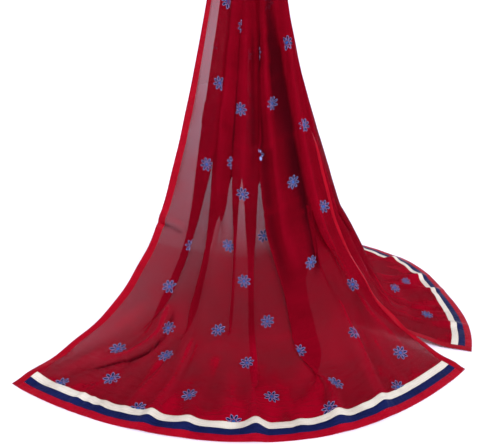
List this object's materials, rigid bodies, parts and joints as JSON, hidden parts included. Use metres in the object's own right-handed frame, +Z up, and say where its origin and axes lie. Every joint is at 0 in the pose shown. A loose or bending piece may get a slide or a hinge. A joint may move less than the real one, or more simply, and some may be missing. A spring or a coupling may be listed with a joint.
{
  "type": "hung dupatta stole",
  "caption": "Sheer stole with satin ribbon borders, gathered and held at mid length, falling in soft pleats and fanning out on the floor in front and behind.",
  "frame": {"origin": "underside of the gathered cloth at the middle of the bunch, where a hand or hook holds it, 1.0 m above the floor it trails on", "axes": "+Z up from the hold, +X to the right seen from the front, -Y towards the front fall"},
  "size_m": [0.9427, 1.001, 1.0162],
  "materials": {
    "maroon_chiffon": "sheer crinkled chiffon",
    "red_satin": "satin ribbon",
    "navy_satin": "satin ribbon",
    "ivory_satin": "satin ribbon"
  },
  "bodies": {
    "root": {"front_fall": "maroon_chiffon", "back_fall": "maroon_chiffon", "front_left_ribbon": "red_satin", "front_right_ribbon": "red_satin", "back_left_ribbon": "red_satin", "back_right_ribbon": "red_satin", "front_hem_red": "red_satin", "front_hem_navy": "navy_satin", "front_hem_white": "ivory_satin", "back_hem_red": "red_satin", "back_hem_navy": "navy_satin", "back_hem_white": "ivory_satin"}
  },
  "joints": []
}
